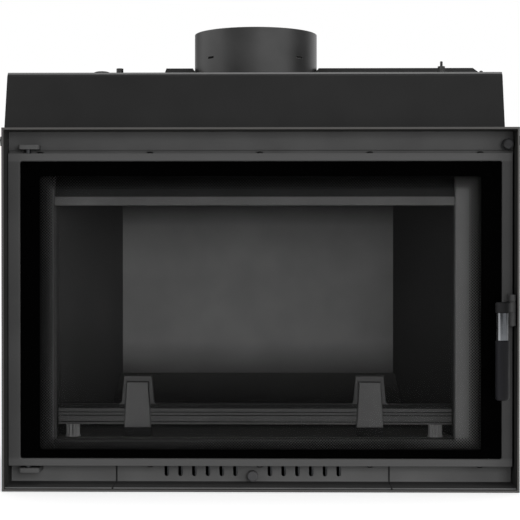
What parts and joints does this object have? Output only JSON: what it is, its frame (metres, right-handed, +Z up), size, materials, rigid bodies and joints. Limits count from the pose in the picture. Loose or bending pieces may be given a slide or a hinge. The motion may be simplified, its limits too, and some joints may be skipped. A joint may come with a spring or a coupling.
{
  "type": "fireplace insert",
  "caption": "Steel fireplace insert with a sloped hood, flue collar and damper, a glazed hinged door with lever handle, a sliding air control and a cast log guard.",
  "frame": {"origin": "centre of the bounding box's underside, where the casing stands", "axes": "+X to the right of someone who faces the door, +Y from the door to the back, +Z up towards the flue"},
  "size_m": [0.725, 0.3794, 0.648],
  "materials": {
    "surround_paint": "satin high-temperature paint on folded steel",
    "wall_paint": "matt high-temperature paint",
    "fascia_paint": "satin high-temperature paint",
    "casing_paint": "satin high-temperature paint with a fine grain",
    "door_paint": "satin high-temperature paint",
    "lever_paint": "satin black paint",
    "collar_steel": "semi-gloss high-temperature paint on rolled steel",
    "liner_iron": "as cast, blackened",
    "guard_iron": "as cast with fettled mouldings",
    "refractory": "matt fireclay, sooted",
    "door_glass": "clear glass ceramic with a black printed border",
    "seal_fibre": "braided glass-fibre rope and woven tape",
    "grip_black": "smooth moulded heat-resistant grip",
    "knob_black": "moulded heat-resistant knob",
    "ferrule_steel": "turned and polished",
    "bright_steel": "drawn bar",
    "zinc_steel": "zinc plated",
    "slider_steel": "cold rolled",
    "damper_steel": "hot rolled, scaled",
    "door_screw_steel": "blackened steel"
  },
  "bodies": {
    "insert": {"surround_frame": "surround_paint", "side_screws": "zinc_steel", "latch_keeper": "bright_steel", "front_wall": "wall_paint", "jamb_frame": "wall_paint", "airwash_header": "wall_paint", "upper_face_plate": "fascia_paint", "fascia_left": "fascia_paint", "fascia_right": "fascia_paint", "air_panel": "fascia_paint", "slider_rails": "slider_steel", "hood_front": "casing_paint", "casing_left": "casing_paint", "casing_right": "casing_paint", "casing_back": "casing_paint", "casing_bottom": "casing_paint", "top_plate": "casing_paint", "flue_collar": "collar_steel", "top_stiffener_left": "casing_paint", "top_stiffener_right": "casing_paint", "top_hex_bolt": "zinc_steel", "top_stud": "zinc_steel", "top_stud_nut": "zinc_steel", "top_plug": "casing_paint", "top_rivet": "zinc_steel", "floor_plate": "wall_paint", "hearth_slab": "refractory", "hearth_ramp": "refractory", "liner_left": "liner_iron", "liner_right": "liner_iron", "liner_back": "liner_iron", "baffle": "refractory", "log_guard": "guard_iron", "guard_feet": "guard_iron", "hinge_tab_upper": "fascia_paint", "hinge_tab_lower": "fascia_paint", "hinge_pins": "bright_steel", "linkage_bushes": "slider_steel", "rod_guides": "slider_steel"},
    "door": {"door_frame": "door_paint", "door_edge_screws": "door_screw_steel", "door_glass": "door_glass", "glass_tapes": "seal_fibre", "glass_retainer": "door_paint", "door_rope_seal": "seal_fibre", "handle_lugs": "door_paint", "handle_pin": "bright_steel"},
    "handle": {"handle_lever": "lever_paint", "handle_ferrule": "ferrule_steel", "handle_grip": "grip_black", "handle_tie_rod": "bright_steel"},
    "air_shutter": {"air_slider": "slider_steel", "air_knob": "knob_black"},
    "damper": {"damper_spindle": "bright_steel", "damper_disc": "damper_steel", "damper_screws": "zinc_steel", "damper_crank": "damper_steel"},
    "pull_rod": {"damper_rod": "bright_steel", "damper_knob": "knob_black"}
  },
  "joints": [
    {"name": "door_hinge", "type": "hinge", "parent": "insert", "child": "door", "pos_m": [-0.324, -0.12832, 0.25], "axis": [0, 0, -1], "range_deg": [0, 110]},
    {"name": "handle_pivot", "type": "hinge", "parent": "door", "child": "handle", "pos_m": [0.3462, -0.15232, 0.25425], "axis": [0, 0, 1], "range_deg": [0, 36]},
    {"name": "air_slide", "type": "slide", "parent": "insert", "child": "air_shutter", "axis": [1, 0, 0], "range_m": [-0.005, 0.0025]},
    {"name": "damper_turn", "type": "hinge", "parent": "insert", "child": "damper", "pos_m": [0.34, 0.00068, 0.545], "axis": [-1, 0, 0], "range_deg": [0, 90]},
    {"name": "rod_slide", "type": "slide", "parent": "insert", "child": "pull_rod", "axis": [0, -1, 0], "range_m": [0, 0.0436]}
  ],
  "couplings": [
    {"joint": "rod_slide", "follows": "damper_turn", "m_per_rad": 0.02775}
  ]
}
